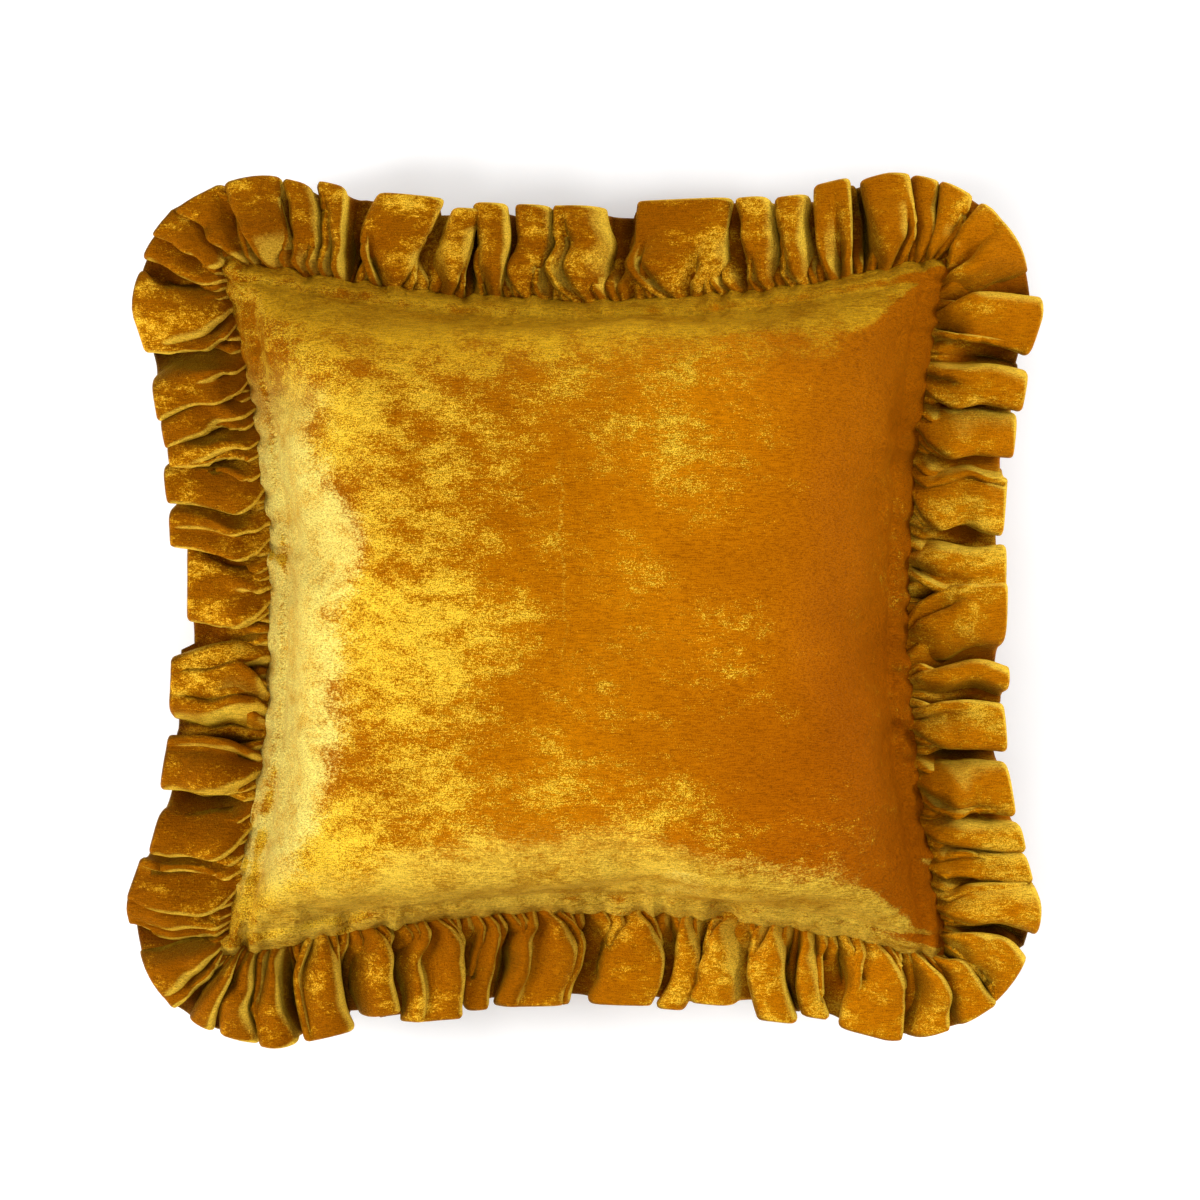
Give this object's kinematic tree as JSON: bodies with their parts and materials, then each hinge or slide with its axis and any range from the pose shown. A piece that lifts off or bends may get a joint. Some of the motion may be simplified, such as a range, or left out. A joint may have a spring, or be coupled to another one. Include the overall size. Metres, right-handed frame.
{
  "type": "throw pillow",
  "caption": "Square velvet throw pillow, plump in the middle, with a gathered ruffle sewn all round its seam and a zipper across the underside that opens onto a loose insert.",
  "frame": {"origin": "middle of the pillow's outline, on the flat patch of the underside that rests on the ground", "axes": "+X to the right and +Y to the top of the face as it is looked at, +Z out of the face"},
  "size_m": [0.5346, 0.5125, 0.1496],
  "materials": {
    "velvet_panel": "satin",
    "velvet_ruffle": "satin",
    "insert_ticking": "matte",
    "fibre_fill": "matte",
    "zipper_tape": "matte",
    "zipper_coil": "satin",
    "zipper_metal": "polished",
    "label_satin": "satin"
  },
  "bodies": {
    "pillow": {"front_panel": "velvet_panel", "back_panel_upper": "velvet_panel", "back_panel_lower": "velvet_panel", "ruffle_top": "velvet_ruffle", "ruffle_right": "velvet_ruffle", "ruffle_bottom": "velvet_ruffle", "ruffle_left": "velvet_ruffle", "insert_cover_front": "insert_ticking", "insert_cover_back": "insert_ticking", "insert_filling": "fibre_fill", "zipper_tape_upper": "zipper_tape", "zipper_tape_lower": "zipper_tape", "zipper_chain_upper": "zipper_coil", "zipper_chain_lower": "zipper_coil", "zipper_top_stop_upper": "zipper_metal", "zipper_top_stop_lower": "zipper_metal", "zipper_bottom_stop": "zipper_metal", "care_label": "label_satin"},
    "zipper_slider": {"zipper_slider": "zipper_metal"},
    "zipper_pull": {"zipper_pull": "zipper_metal"}
  },
  "joints": [
    {"name": "zipper_slide", "type": "slide", "parent": "pillow", "child": "zipper_slider", "axis": [1, 0, 0], "range_m": [-0.218, 0]},
    {"name": "pull_flip", "type": "hinge", "parent": "zipper_slider", "child": "zipper_pull", "pos_m": [0.11, -0.045, 0.0015], "axis": [0, -1, 0], "range_deg": [0, 180]}
  ]
}
